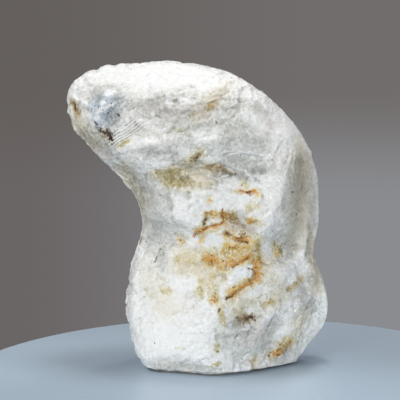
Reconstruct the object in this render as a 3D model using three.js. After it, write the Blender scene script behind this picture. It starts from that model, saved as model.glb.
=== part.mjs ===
// A white marble specimen: one natural, unpolished stone, bent like a thumb, on a sawn flat foot.
// Units are millimetres and +Z is up. The origin is on the ground, under the middle of the stone's box.
// The front is the -Y side. The foot stands at z = 0, and the blunt nose leans over to -X.
import * as THREE from "three";

// Driving dimensions
const height = 140; // ground to the top of the bend
const frontThickness = 36; // from the middle plane to the furthest point of the front
const backThickness = 34; // from the middle plane to the furthest point of the back

// How finely the skin is divided
const stepsAcross = 36;
const ringCount = 56;

// How far along the stone the last ring is: the nose is cut off blunt there
const noseEnd = 0.992;
// Over how many millimetres one broken face rounds into the next
const arrisRounding = 2;
// The broken faces aren't quite flat: each is part of a large dome of this radius
const domeRadius = 160;
// How fast a broken face bends away past its reach: lower is faster
const releaseRadius = 4;
// How square the stone is across: 2 would make every cross-section an ellipse
const squareness = 2.5;

// The stone's outline seen from the front is two edges that both run from the foot to the tip of the nose.
// Their points are shares of the height.
const hollowEdge = edgeThrough([
  [-0.178, 0],
  [-0.209, 0.035],
  [-0.237, 0.16],
  [-0.233, 0.265],
  [-0.202, 0.38],
  [-0.183, 0.465],
  [-0.203, 0.555],
  [-0.278, 0.645],
  [-0.354, 0.722],
  [-0.4, 0.79],
  [-0.419, 0.85],
  [-0.424, 0.9],
]);
const humpedEdge = edgeThrough([
  [0.325, 0],
  [0.358, 0.04],
  [0.425, 0.125],
  [0.44, 0.19],
  [0.418, 0.29],
  [0.388, 0.355],
  [0.4, 0.47],
  [0.402, 0.57],
  [0.378, 0.69],
  [0.325, 0.79],
  [0.24, 0.885],
  [0.125, 0.96],
  [-0.02, 0.993],
  [-0.15, 1],
  [-0.29, 0.985],
  [-0.345, 0.968],
  [-0.404, 0.934],
  [-0.424, 0.9],
]);

// How far the skin stands from the middle plane, from the foot (0) to the tip of the nose (1),
// as shares of the thickness.
const thicknessProfile = new THREE.SplineCurve(
  [
    [0, 0.88],
    [0.1, 0.97],
    [0.25, 1],
    [0.45, 0.98],
    [0.62, 0.98],
    [0.76, 0.88],
    [0.87, 0.74],
    [0.95, 0.58],
    [1, 0.3],
  ].map(([along, share]) => new THREE.Vector2(along, share)),
);

// The nearly flat faces where the stone broke: the middle of each, the way it faces and its reach.
const frontFaces = facesOf({
  lowerLeft: { at: [-12, -22.5, 30], facing: [-0.4, -0.9, 0.1], reach: 30 },
  lowerRight: { at: [28, -21.5, 20], facing: [0.48, -0.86, -0.12], reach: 30 },
  chippedLeftFoot: { at: [-8, -24.5, 3], facing: [-0.3, -0.75, -0.5], reach: 14 },
  middle: { at: [18, -31, 66], facing: [0.12, -0.98, -0.02], reach: 24 },
  leftMiddle: { at: [-5, -30, 74], facing: [-0.28, -0.93, 0.16], reach: 12 },
  leftNeck: { at: [-20, -21, 69], facing: [-0.75, -0.62, -0.2], reach: 14 },
  upper: { at: [2, -32, 106], facing: [0.02, -0.99, -0.1], reach: 30 },
  shoulder: { at: [33, -24, 112], facing: [0.5, -0.72, 0.48], reach: 20 },
  rightFlank: { at: [46, -20, 74], facing: [0.82, -0.57, 0.03], reach: 22 },
  aboveLowerRight: { at: [40, -22, 45], facing: [0.3, -0.75, 0.56], reach: 9 },
  underNose: { at: [-38, -16, 95], facing: [-0.5, -0.55, -0.66], reach: 14 },
  sideNose: { at: [-38, -24, 113], facing: [-0.22, -0.97, 0.03], reach: 16 },
  endNose: { at: [-53, -13, 121], facing: [-0.72, -0.68, 0.1], reach: 14 },
  frontTop: { at: [-10, -22, 129], facing: [-0.06, -0.62, 0.78], reach: 46 },
});
const backFaces = facesOf({
  middle: { at: [8, 31, 78], facing: [0.08, 0.99, 0.1], reach: 30 },
  lower: { at: [16, 28, 22], facing: [0.12, 0.96, -0.22], reach: 30 },
  leftFoot: { at: [-16, 22, 24], facing: [-0.58, 0.8, -0.1], reach: 27 },
  leftNeck: { at: [-16, 23, 66], facing: [-0.6, 0.78, 0.02], reach: 16 },
  rightFlank: { at: [45, 19, 62], facing: [0.72, 0.69, -0.04], reach: 20 },
  rightFoot: { at: [47, 16, 18], facing: [0.6, 0.78, -0.2], reach: 24 },
  hump: { at: [28, 22, 115], facing: [0.34, 0.7, 0.62], reach: 22 },
  backTop: { at: [-14, 20, 129], facing: [-0.05, 0.66, 0.75], reach: 26 },
  sideNose: { at: [-38, 20, 110], facing: [-0.3, 0.93, -0.18], reach: 18 },
  endNose: { at: [-53, 15, 118], facing: [-0.78, 0.62, -0.05], reach: 14 },
});

// Shallow hollows between the faces: the middle of each in X and Z, its half length and half width,
// how far its length turns up from the level in degrees, and its depth.
const frontHollows = Object.values({
  underUpperLedge: { at: [-3, 91], half: [24, 6.5], turn: 4, depth: 3.2 },
  stainedMiddle: { at: [15, 56], half: [21, 13], turn: 62, depth: 2.8 },
  grooveOnRight: { at: [45, 54], half: [15, 6], turn: -28, depth: 3 },
  leftNeck: { at: [-20, 62], half: [13, 6], turn: 65, depth: 1.6 },
});
const backHollows = Object.values({
  scoopInMiddle: { at: [12, 92], half: [26, 13], turn: -24, depth: 3.2 },
  biteAboveFoot: { at: [-2, 44], half: [20, 9], turn: 14, depth: 2.8 },
  rightEdge: { at: [42, 46], half: [13, 8], turn: 50, depth: 2.2 },
});

function edgeThrough(shares) {
  const points = shares.map(([x, z]) => new THREE.Vector3(x, 0, z).multiplyScalar(height));
  return new THREE.CatmullRomCurve3(points);
}

function facesOf(named) {
  return Object.values(named).map(({ at, facing, reach }) => {
    return { centre: new THREE.Vector3(...at), normal: new THREE.Vector3(...facing).normalize(), reach };
  });
}

// How far a broken face stands from the middle plane over a point of that plane.
// Past its reach a face bends away from the stone, and other faces take over.
function faceDepthAt({ centre, normal, reach }, point) {
  const across = point.x - centre.x;
  const up = point.z - centre.z;
  const away = Math.hypot(across, up);
  const slope = (normal.x * across + normal.z * up) / Math.abs(normal.y);
  const dome = Math.min(away, reach) ** 2 / (2 * domeRadius);
  const release = Math.max(away - reach, 0) ** 2 / (2 * releaseRadius);
  return Math.abs(centre.y) - slope - dome + release;
}

// How deep a hollow is over a point of the middle plane.
function hollowDepthAt({ at, half, turn, depth }, point) {
  const away = new THREE.Vector2(point.x - at[0], point.z - at[1]);
  away.rotateAround(new THREE.Vector2(), -THREE.MathUtils.degToRad(turn));
  const reach = (away.x / half[0]) ** 2 + (away.y / half[1]) ** 2;
  return depth * Math.exp(-reach);
}

// Shallow lumps that keep the skin from looking turned or cut.
function lumpAt(point, side) {
  const swell = Math.sin((point.x + point.z) / 13);
  const broad = Math.sin(point.x / 8 + 1.2 * side) * Math.sin(point.z / 10 + 2);
  const small = Math.sin(point.x / 3.7 + side) * Math.sin(point.z / 3.9);
  return 0.45 * (swell + broad) + 0.3 * small;
}

// The smallest of several numbers, rounded off where two of them are close.
function softSmallest(numbers) {
  const least = Math.min(...numbers);
  const total = numbers.reduce((sum, n) => sum + Math.exp((least - n) / arrisRounding), 0);
  return least - arrisRounding * Math.log(total);
}

// A point of the skin: how far along the stone, how far across from the hollow edge (-1) to the humped
// edge (1), and on which side of the middle plane (-1 for the front, 1 for the back).
function skinAt(along, across, side) {
  const hollow = hollowEdge.getPointAt(along);
  const humped = humpedEdge.getPointAt(along);
  const point = hollow.lerp(humped, (across + 1) / 2);
  const rim = (1 - Math.abs(across) ** squareness) ** (1 / squareness);
  const thickness = side < 0 ? frontThickness : backThickness;
  const full = thickness * thicknessProfile.getPoint(along).y * rim;
  const faces = side < 0 ? frontFaces : backFaces;
  const hollows = side < 0 ? frontHollows : backHollows;
  let depth = softSmallest([full, ...faces.map((face) => faceDepthAt(face, point))]);
  for (const each of hollows) {
    depth -= hollowDepthAt(each, point) * rim;
  }
  depth += lumpAt(point, side) * rim;
  point.y = side * Math.max(depth, 0);
  return point;
}

// One closed cross-section: over the front from the hollow edge to the humped edge, then back behind.
function ringAt(along) {
  const corners = [];
  for (let i = 0; i < 2 * stepsAcross; i++) {
    const across = -Math.cos((Math.PI * i) / stepsAcross);
    corners.push(skinAt(along, across, i < stepsAcross ? -1 : 1));
  }
  return corners;
}

// Weathering: the depth of each corner is evened out with the corners round it. X and Z stay as they are.
function weathered(rings) {
  const last = rings.length - 1;
  return rings.map((ring, k) =>
    ring.map((corner, i) => {
      if (i % stepsAcross === 0) return corner;
      const below = rings[Math.max(k - 1, 0)][i];
      const above = rings[Math.min(k + 1, last)][i];
      const mean = (ring[i - 1].y + ring[(i + 1) % ring.length].y + below.y + above.y) / 4;
      return new THREE.Vector3(corner.x, (corner.y + mean) / 2, corner.z);
    }),
  );
}

// A closed skin over the rings, with a flat fan on the first ring and another on the last.
function skinOver(rings) {
  const cornersPerRing = rings[0].length;
  const points = [...rings.flat(), middleOf(rings[0]), middleOf(rings[rings.length - 1])];
  const foot = points.length - 2;
  const end = points.length - 1;
  const triangles = [];
  const corner = (ring, i) => ring * cornersPerRing + (i % cornersPerRing);
  for (let i = 0; i < cornersPerRing; i++) {
    triangles.push(foot, corner(0, i + 1), corner(0, i));
    for (let ring = 0; ring < rings.length - 1; ring++) {
      const patch = [corner(ring, i), corner(ring, i + 1), corner(ring + 1, i + 1), corner(ring + 1, i)];
      triangles.push(...splitPatch(patch, points));
    }
    triangles.push(corner(rings.length - 1, i), corner(rings.length - 1, i + 1), end);
  }
  const geometry = new THREE.BufferGeometry().setFromPoints(points);
  geometry.setIndex(triangles);
  geometry.computeVertexNormals();
  return geometry;
}

function middleOf(ring) {
  return ring.reduce((sum, corner) => sum.add(corner), new THREE.Vector3()).divideScalar(ring.length);
}

// Two triangles over a four-cornered patch, which folds along its shorter diagonal.
function splitPatch([a, b, c, d], points) {
  const first = points[a].distanceTo(points[c]);
  const second = points[b].distanceTo(points[d]);
  return first < second ? [a, b, c, a, c, d] : [a, b, d, b, c, d];
}

const freshRings = [];
for (let k = 0; k < ringCount; k++) {
  freshRings.push(ringAt((noseEnd * k) / (ringCount - 1)));
}
const rings = weathered(weathered(freshRings));

const marble = new THREE.MeshStandardMaterial({ color: 0xe9e6df, roughness: 0.55, metalness: 0 });
const stone = new THREE.Mesh(skinOver(rings), marble);
stone.name = "marble_stone";

const specimen = new THREE.Group();
specimen.add(stone);

// The middle of the stone's box goes to x = 0 and y = 0. Its foot is at z = 0 already.
const boxMiddle = new THREE.Box3().setFromObject(stone).getCenter(new THREE.Vector3());
stone.position.set(-boxMiddle.x, -boxMiddle.y, 0);

export default specimen;
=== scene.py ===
import math
import bpy
import numpy as np
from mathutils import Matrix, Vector


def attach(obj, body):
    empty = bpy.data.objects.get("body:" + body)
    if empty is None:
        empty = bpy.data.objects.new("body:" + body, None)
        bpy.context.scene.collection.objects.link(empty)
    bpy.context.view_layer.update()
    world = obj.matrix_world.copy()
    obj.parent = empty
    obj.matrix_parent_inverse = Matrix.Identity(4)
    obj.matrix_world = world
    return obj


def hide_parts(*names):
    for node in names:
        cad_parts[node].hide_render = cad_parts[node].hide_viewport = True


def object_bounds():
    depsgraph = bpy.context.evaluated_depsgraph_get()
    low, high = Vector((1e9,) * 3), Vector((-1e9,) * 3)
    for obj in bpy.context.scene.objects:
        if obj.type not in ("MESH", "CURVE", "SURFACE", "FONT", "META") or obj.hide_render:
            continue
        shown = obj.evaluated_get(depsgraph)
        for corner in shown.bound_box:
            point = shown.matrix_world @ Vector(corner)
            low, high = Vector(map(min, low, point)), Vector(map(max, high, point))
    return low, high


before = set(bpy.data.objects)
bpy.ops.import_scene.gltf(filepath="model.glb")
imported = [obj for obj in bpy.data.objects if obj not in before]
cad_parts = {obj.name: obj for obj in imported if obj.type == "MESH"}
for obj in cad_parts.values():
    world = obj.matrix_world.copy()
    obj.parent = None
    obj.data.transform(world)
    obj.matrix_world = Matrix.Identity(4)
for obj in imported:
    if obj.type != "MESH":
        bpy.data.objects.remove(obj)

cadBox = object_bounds()
mm = 0.001
print("frame loaded")


def setMode(mode):
    bpy.ops.object.mode_set(mode=mode)


def dropSelection():
    if bpy.context.object and bpy.context.object.mode != "OBJECT":
        setMode("OBJECT")
    bpy.ops.object.select_all(action="DESELECT")


def pick(piece):
    dropSelection()
    piece.select_set(True)
    bpy.context.view_layer.objects.active = piece


def modify(piece, name, kind, **settings):  # adds a modifier to the piece picked before, and applies it
    modifier = piece.modifiers.new(name, kind)
    for key, value in settings.items():
        setattr(modifier, key, value)
    bpy.ops.object.modifier_apply(modifier=name)


def tint(code):  # a web colour as the linear colour that nodes take
    shares = [int(code[i:i + 2], 16) / 255 for i in (1, 3, 5)]
    return (*[s / 12.92 if s <= 0.04045 else ((s + 0.055) / 1.055) ** 2.4 for s in shares], 1)


# The camera, the lamps, the wall and the table, in metres.
studio = {
    "lens": 99,
    "filmWidth": 36,
    "eye": (0.00007, -0.50684, 0.1298),
    "lookDown": 6,  # degrees below level
    "wallHigh": ("#65605d", "#716d6c"),  # left and right
    "wallLow": ("#6b6666", "#8b8c90"),
    "wallTurn": (-0.17, 0.12),  # sideways share of the view where the wall changes
    "wallRise": (-0.11, 0.0),  # the same for its height
    "dimCeiling": "#2c2c2e",
    "ceilingRise": (0.2, 0.6),
    "tableColour": "#b9cbdb",
    "tableRoughness": (0.34, 0.08),  # the least, and what a haze adds to it in patches
    "hazeSize": 0.05,
    "tableRadius": 0.132,
    "tableMiddle": (0.0205, -0.033),
    "tableThickness": 0.012,
    "rimWidth": 0.0015,
    "lampAim": 0.55,  # share of the stone's height that the lamps point at
    "lamps": {  # place, width, watts
        "ceilingSoftbox": ((0.06, 0.0, 1.05), 0.3, 3.9),
        "highWindow": ((-0.62, -0.12, 0.7), 0.5, 1.9),
        "lowWindow": ((-0.56, -0.82, 0.26), 0.5, 5.3),
        "wallBounce": ((0.52, -0.84, 0.18), 0.5, 3.0),
        "backWindow": ((0.3, 0.42, 0.8), 0.3, 1.8),
    },
}


def setCamera():
    eye = bpy.data.cameras.new("camera")
    eye.lens = studio["lens"]
    eye.sensor_width = studio["filmWidth"]
    holder = bpy.data.objects.new("camera", eye)
    holder.location = studio["eye"]
    holder.rotation_euler = (math.radians(90 - studio["lookDown"]), 0, 0)
    bpy.context.collection.objects.link(holder)
    bpy.context.scene.camera = holder


def setLamps():
    top = cadBox[1][2]
    target = Vector((0, 0, top * studio["lampAim"]))
    for name, (place, width, watts) in studio["lamps"].items():
        dropSelection()
        bpy.ops.object.light_add(type="AREA", location=place)
        lamp = bpy.context.object
        lamp.name = name
        lamp.data.shape = "DISK"
        lamp.data.size = width
        lamp.data.energy = watts
        lamp.rotation_euler = (target - lamp.location).to_track_quat("-Z", "Y").to_euler()


def setTable():
    dropSelection()
    thickness = studio["tableThickness"]
    bpy.ops.mesh.primitive_cylinder_add(
        vertices=256, radius=studio["tableRadius"], depth=thickness,
        location=(*studio["tableMiddle"], -thickness / 2),
    )
    table = bpy.context.object
    table.name = "tableTop"
    modify(table, "rim", "BEVEL", width=studio["rimWidth"], segments=3)
    bpy.ops.object.shade_smooth_by_angle(angle=math.radians(30))
    return table


setCamera()
setLamps()
table = setTable()
print("camera, lamps and table placed")


class Wire:  # a node's output that stands in a sum as a number does
    def __init__(self, paint, socket):
        self.paint = paint
        self.socket = socket

    def join(self, operation, first, second):
        return self.paint.node("Math", {0: first, 1: second}, {"operation": operation})

    def __add__(self, other):
        return self.join("ADD", self, other)

    def __sub__(self, other):
        return self.join("SUBTRACT", self, other)

    def __rsub__(self, other):
        return self.join("SUBTRACT", other, self)

    def __mul__(self, other):
        return self.join("MULTIPLY", self, other)

    __radd__, __rmul__ = __add__, __mul__

    def between(self, low, high):  # 0 below low, 1 above high, smooth from one to the other
        sockets = {0: self, 1: low, 2: high, 3: 0.0, 4: 1.0}
        return self.paint.node("MapRange", sockets, {"interpolation_type": "SMOOTHSTEP"})


class Paint:  # one material and its nodes
    def __init__(self, owner):
        self.tree = owner.node_tree
        self.tree.nodes.clear()

    def node(self, kind, sockets=None, settings=None, output=0):
        made = self.tree.nodes.new("ShaderNode" + kind)
        for key, value in (settings or {}).items():
            setattr(made, key, value)
        for key, value in (sockets or {}).items():
            if isinstance(value, Wire):
                self.tree.links.new(value.socket, made.inputs[key])
            else:
                made.inputs[key].default_value = value
        return Wire(self, made.outputs[output] if made.outputs else None)

    def mix(self, share, first, second, blend="MIX"):
        settings = {"data_type": "RGBA", "blend_type": blend}
        return self.node("Mix", {0: share, 6: first, 7: second}, settings, 2)

    def place(self):
        return self.node("TexCoord", output="Object")

    def vector(self, operation, first, second, output=0):
        return self.node("VectorMath", {0: first, 1: second}, {"operation": operation}, output)

    def noise(self, size, detail=3.0, roughness=0.55, start=0.0, output=0, stretch=None):
        where = self.place()
        if stretch:
            turn = (0, -math.radians(stoneShape["layerTilt"]), 0)
            sockets = {"Vector": where, "Rotation": turn, "Scale": (stretch, 1, 1)}
            where = self.node("Mapping", sockets, {"vector_type": "TEXTURE"})
        if start:
            where = self.vector("ADD", where, (start, start, start))
        sockets = {"Vector": where, "Scale": 1 / size, "Detail": detail, "Roughness": roughness}
        return self.node("TexNoise", sockets, output=output)

    def field(self, name):
        return self.node("Attribute", {}, {"attribute_name": name}, 2)

    def cells(self, size, where=None, output=0, **settings):  # 0 distance, 1 colour, 2 middle of each
        sockets = {"Vector": where or self.place(), "Scale": 1 / size}
        return self.node("TexVoronoi", sockets, settings, output)

    def part(self, vector, number):  # one coordinate of a vector
        return self.node("SeparateXYZ", {0: vector}, output=number)


def newPaint(name):
    material = bpy.data.materials.new(name)
    material.use_nodes = True
    return material, Paint(material)


def tablePaint():
    material, paint = newPaint("satinTable")
    least, more = studio["tableRoughness"]
    surface = paint.node("BsdfPrincipled", {
        "Base Color": tint(studio["tableColour"]),
        "Roughness": least + more * paint.noise(studio["hazeSize"], detail=2.0),
        "Specular IOR Level": 0.4,
    })
    paint.node("OutputMaterial", {"Surface": surface})
    return material


def wallPaint():
    world = bpy.data.worlds.new("wall")
    world.use_nodes = True
    bpy.context.scene.world = world
    paint = Paint(world)
    way = paint.node("TexCoord", output="Generated")
    across = paint.part(way, 0).between(*studio["wallTurn"])
    rise = paint.part(way, 2)
    low = paint.mix(across, *[tint(code) for code in studio["wallLow"]])
    high = paint.mix(across, *[tint(code) for code in studio["wallHigh"]])
    wall = paint.mix(rise.between(*studio["wallRise"]), low, high)
    room = paint.mix(rise.between(*studio["ceilingRise"]), wall, tint(studio["dimCeiling"]))
    glow = paint.node("Background", {"Color": room, "Strength": 1.0})
    paint.node("OutputWorld", {"Surface": glow})


table.data.materials.append(tablePaint())
wallPaint()
bpy.context.scene.view_settings.view_transform = "Standard"
print("table and wall painted")


# The stone's shape in mm. A place is (x, z); the front faces the camera and the back faces away.
frontShape = {
    "swells": {  # broad bulges and dents: place, half width, half height, lift
        "neckHollow": ((-25, 60), 14, 11, -4),
        "neckSlope": ((-23, 77), 9, 9, -2.2),
        "leftFootBulge": ((-20, 13), 18, 12, 2),
        "hoodFold": ((0, 92), 20, 6, -1.8),
        "stainHollow": ((13, 60), 14, 12, -1.5),
        "middleBulge": ((-5, 77), 8, 7, 1.2),
        "mauveDent": ((15, 68), 5, 4, -0.7),
        "pitHollow": ((20, 26), 8, 6, -1.8),
        "rightFootHollow": ((33, 25), 9, 12, -0.3),
        "crownBrow": ((2, 127), 30, 5, 0.3),
        "hoodBand": ((0, 116.5), 30, 6, -0.7),
        "hoodBelly": ((-8, 105), 22, 5, 0.9),
        "hollowDent": ((9, 91), 9, 3.5, -1),
        "noseHollow": ((-46, 103), 10, 8, -3),
        "underNose": ((-51, 103), 8, 9, -3),
        "underHood": ((-32, 90), 9, 8, -2.4),
        "noseSide": ((-60, 118), 5, 9, -1.4),
        "crownDent": ((-43, 129.5), 4, 2.5, -0.7),
        "bladeDent": ((-36, 113), 5, 4, -0.8),
        "whiteShoulder": ((-12, 107), 8, 3, 0.8),
        "oliveFold": ((-12, 89), 9, 4, -0.4),
        "crownShoulder": ((24, 120), 9, 6, 1.2),
        "facetDent": ((53, 41), 8, 9, -1.8),
        "facetCrown": ((38, 48), 8, 5, 0.8),
        "facetFoot": ((36, 37), 8, 6, 1.1),
        "leftHeel": ((-23, 2), 7, 6, 2),
    },
    "slopes": {  # faces that fall away to the right of a line: line, steepness, width
        "flank": ([(32.5, 52), (33, 62), (34, 77), (39, 94)], 0.27, 10),
        "rightOfFoot": ([(37, 2), (40, 14), (44, 26)], 0.1, 7),
    },
    "ledges": {  # steps along a line: line, rise of its right-hand side, softness, reach
        "brightShelf": ([(-36, 101.5), (-30, 104.8), (-24, 106.5), (-18, 104)], 1.2, 0.6, 3.5),
        "underShelf": ([(-36, 99.5), (-31, 100.5), (-25, 101), (-17, 100.5)], -0.5, 0.9, 3.5),
        "noseRidge": ([(-24, 122), (-17, 124.5), (-11, 125.5)], -0.8, 0.6, 4),
        "noseStreaks": ([(-57, 125), (-53, 122.5), (-50, 121.5)], 0.7, 0.5, 2.5),
        "crystalEdge": ([(-44.5, 123), (-45.5, 118), (-47, 113)], -0.8, 0.6, 3),
        "patchEdge": ([(-36, 126), (-35.5, 120), (-37, 115)], -0.6, 0.7, 3),
        "hoodRidge": ([(12, 100), (15, 100.7), (19, 100.2), (25, 98.5)], -0.8, 0.45, 3.5),
        "tanHollowBrow": ([(0.5, 96), (4, 94.5), (9, 95), (13, 93), (17.5, 91.3)], -1.2, 0.6, 4.5),
        "upperVein": ([(-2, 90), (1, 89.6), (4, 88.6), (8, 88.4), (12, 89)], 0.7, 0.45, 3),
        "lowerVein": ([(-3, 84.6), (3, 84.2), (8, 83.4), (16, 82.5)], 0.6, 0.45, 3),
        "foldLine": ([(-22, 94), (-12, 93), (-4, 95)], -0.6, 0.8, 4),
        "hoodShelf": ([(-4, 105.5), (2, 106.3), (9, 107.5)], 0.9, 0.6, 4),
        "hoodStep": ([(-14, 109.5), (-8, 110.5), (0, 112)], -0.6, 0.7, 4),
        "eastStep": ([(20, 106), (27, 110), (34, 109)], 0.6, 0.7, 4),
        "neckEdge": ([(-4, 64.5), (-9.5, 68.5), (-12, 73), (-12, 84)], 1.3, 0.8, 5),
        "triangleBrow": ([(-20, 69), (-13, 67), (-3, 63.5)], -0.8, 0.7, 4.5),
        "lipBelowTriangle": ([(-8, 58), (-3, 59), (2, 61)], 0.5, 0.8, 3),
        "crackLip": ([(-2, 63), (1, 66), (5, 67.5), (9, 68.5)], 0.7, 0.5, 3),
        "flankEdge": ([(36, 77), (33.5, 70), (33, 62)], 0.6, 0.8, 5),
        "rimFold": ([(51.5, 78), (50, 66), (49, 55)], 1.2, 0.6, 3.5),
        "facetBrow": ([(29, 49.5), (37, 49.8), (46.5, 51)], 1, 0.5, 5),
        "facetEdge": ([(47.5, 51), (41, 45), (37.5, 39)], 0.8, 1.3, 5),
        "footSplit": ([(-2.5, 12), (-2, 21), (-3, 30)], -0.6, 1, 5),
        "eastCrevice": ([(34.5, 28.5), (32.5, 24), (29.5, 19.5)], 0.35, 0.5, 3),
        "outerCrevice": ([(46.5, 26), (43.5, 23), (41, 20)], 0.2, 0.6, 3),
        "undercut": ([(-27, 5), (-18, 7.5), (-10, 8), (-4, 6.5), (4, 4)], -1.3, 2.2, 7),
    },
    "cracks": {  # grooves along a line: line, depth, half width
        "zigzag": ([(-2.5, 63.3), (0, 64.5), (1, 66), (3, 67.3), (5.5, 68), (8.5, 68.6), (10, 70),
                    (10, 75.5)], 0.6, 0.6),
        "flame": ([(11.5, 64.5), (15, 63), (17.5, 61.5), (20.5, 62.5)], 0.5, 0.7),
        "slash": ([(14.5, 48.5), (18.5, 51.5), (22, 54)], 0.7, 0.55),
        "hook": ([(22, 48), (25.5, 46), (25.5, 43.5), (22, 41), (18, 38.6), (12, 35.6)], 0.45, 0.7),
        "noseSlit": ([(-57, 121.5), (-54.5, 118)], 0.5, 0.6),
        "oliveCrack": ([(-4, 97), (-1, 98), (2, 100.5)], 0.5, 0.7),
        "tanCrack": ([(9, 94), (13, 92.5), (16, 91.5)], 0.5, 0.6),
        "facetGroove": ([(41, 38), (44, 38.5), (47, 41)], 0.6, 1),
        "footCrease": ([(26, 8), (24.5, 1)], 0.7, 1.2),
        "dash": ([(18.5, 82.7), (24, 82.7)], 0.4, 0.5),
        "patchLow": ([(-41.5, 110.5), (-40.3, 107.5), (-39.8, 105.8)], 0.7, 0.9),
        "bladeFoot": ([(-38.5, 111.5), (-35.5, 115)], 0.4, 0.6),
        "lowDash": ([(15, 17.5), (17.2, 19)], 0.4, 0.6),
    },
    "pits": [  # holes: place, depth, radius
        ((21.5, 25.6), 1.3, 1.5), ((23.6, 26.8), 1, 1.1), ((24.8, 24.6), 0.9, 0.9), ((17.2, 26.8), 0.5, 0.7),
        ((1.8, 71), 0.5, 0.6), ((1.2, 69.2), 0.5, 0.6), ((-36, 116.4), 0.5, 0.8), ((-40.8, 117), 0.4, 0.6),
        ((-46.6, 112.5), 0.5, 0.7), ((-9, 59.5), 0.4, 0.8), ((8.6, 30.3), 0.5, 0.8), ((24.3, 56.4), 0.4, 0.6),
    ],
}
backShape = {
    "swells": {
        "backHollow": ((10, 80), 16, 20, -2.2),
        "backBelly": ((-8, 38), 16, 14, 1.5),
        "backFold": ((-25, 108), 14, 7, -1.4),
    },
    "slopes": {"backFlank": ([(30, 30), (28, 60), (32, 90)], 0.25, 12)},
    "ledges": {
        "backShelf": ([(-28, 96), (-14, 92), (4, 95), (20, 90)], 1, 1, 6),
        "backStep": ([(-16, 52), (0, 57), (16, 54), (30, 60)], -0.9, 1, 6),
        "backFacet": ([(30, 34), (22, 24), (20, 12)], 0.9, 1, 6),
        "backNeckEdge": ([(-8, 66), (-14, 74), (-14, 86)], 0.9, 1.2, 6),
    },
    "cracks": {
        "backCrack": ([(-10, 60), (-4, 50), (-6, 40), (2, 30)], 0.6, 0.8),
        "backHairline": ([(10, 104), (20, 96), (32, 94)], 0.4, 0.7),
    },
    "pits": [((12, 66), 0.9, 1.4), ((-18, 44), 0.8, 1.2), ((24, 104), 0.7, 1.2)],
}
stoneShape = {
    "rounding": 2,  # subdivisions that round the CAD facets off
    "faceSize": 0.65,  # of the remeshed faces
    "calm": (0.5, 4),  # strength and rounds of the smoothing that follows
    "mostTriangles": 194000,
    "rimHeight": 2.5,  # below it the foot has smaller faces
    "facing": 0.1,  # how far a face looks forwards to be refined, or backwards to be thinned
    "sideTurn": (-0.05, 0.35),  # how far a face turns before it takes on that side's shapes
    "slopeStart": (-1.5, 2.5),  # how gently a slope begins on both sides of its line
    "slopeEnd": 5,  # how far it runs on past the line's ends
    "slopeTurn": (0.1, 0.9),  # it spares the faces that turn away
    "footDrop": (1.3, 7),  # how far the foot is lowered, and the height where that ends
    "footDrawn": 0.06,  # share by which the sole is smaller than the foot, which leaves a thin dark gap
    "gapHeight": (0.5, 1.5),
    "soleHeight": (0.3, 1.2),  # the relief fades out from the higher to the lower
    "soleTurn": (-0.3, -0.7),  # and as a face turns down
    "sink": 0.35,  # how far the whole skin moves in
    "knobs": [  # bumps and notches of the outline: place, radius, lift
        ((-50.5, 134.5), 2.2, 0.8), ((-43, 137.5), 3.5, 0.9), ((-35, 138), 3, 0.7), ((-47, 136.2), 1.2, -0.6),
        ((-39, 138), 1, -0.4), ((-31.7, 137.8), 1.2, -0.8), ((-27.5, 138.8), 1, -0.4),
        ((-59.3, 117.5), 1.6, 0.8), ((-59.2, 120.8), 1.2, -0.6), ((31.5, 124), 1.2, -0.5),
        ((-54, 131), 1.4, 0.4), ((-35, 18), 4.5, -1.6), ((-34, 33), 1.6, 0.6), ((-33, 37), 1.2, -0.4),
        ((-26, 61), 1.3, 0.5), ((-25, 67), 1.2, -0.3),
    ],
    "blades": {  # thin parallel blades of crystal on the nose
        "line": [(-38, 105.4), (-27.6, 112.2)], "reach": 4.4, "fadeOut": 2, "spacing": 1.25, "height": 0.28,
    },
    "bladeDrift": [(5, 0.7, 51), (1.5, 0.1, 52)],  # wave length, shift, seed
    "stray": [(3.5, 0.7, (41, 42)), (1.4, 0.35, (43, 44))],  # the same for lines, so that none is straight
    "scoops": [(15, 0.38, 0.06, 3), (7, 0.16, 0.06, 11)],  # size, depth, tilt, seed
    "flakes": [(5.5, 0.08, 0.14, 31), (2.6, 0.1, 0.07, 37)],  # size, tilt, step, seed
    "flakePatches": {"size": 2.5, "edge": (-0.5, 0.4), "least": 0.4, "more": 0.9},  # the size is in flakes
    "roughness": [(8, 0.1, 5), (3.3, 0.05, 6), (1.2, 0.05, 7)],  # wave length, height, seed
    "layerTilt": 24,  # degrees that the stone's layers rise to the right
    "layerStretch": 0.75,  # below 1, what is broken runs along the layers
    "layerBend": (7, 1.6, (71, 72, 73)),  # wave length, shift, seeds
    "ruggedness": {"wave": 22, "seed": 61, "edge": (-0.4, 0.4), "least": 0.7, "more": 0.3},
    "temper": [  # place, half width, half height and how rugged the broken surface is there
        ((-24, 70), 10, 15, 0.3), ((46, 75), 10, 28, 0.25), ((-15, 22), 11, 17, 0.35), ((-3, 60), 6, 3, 0.3),
        ((-42, 99), 12, 6, 0.4), ((15, 68), 5, 4, 0.4), ((8, 104), 24, 12, 0.9), ((-40, 115), 12, 10, 1.3),
        ((15, 50), 13, 18, 1.3), ((50, 22), 7, 11, 1.1), ((0, 134), 40, 6, 0.45), ((28, 14), 12, 10, 0.6),
        ((-21, 79), 8, 8, 0.4), ((42, 64), 9, 14, 0.3), ((38, 112), 13, 13, 0.5),
    ],
}


def dotMarks(reach, *places):
    return [(reach, place) for place in places]


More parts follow.
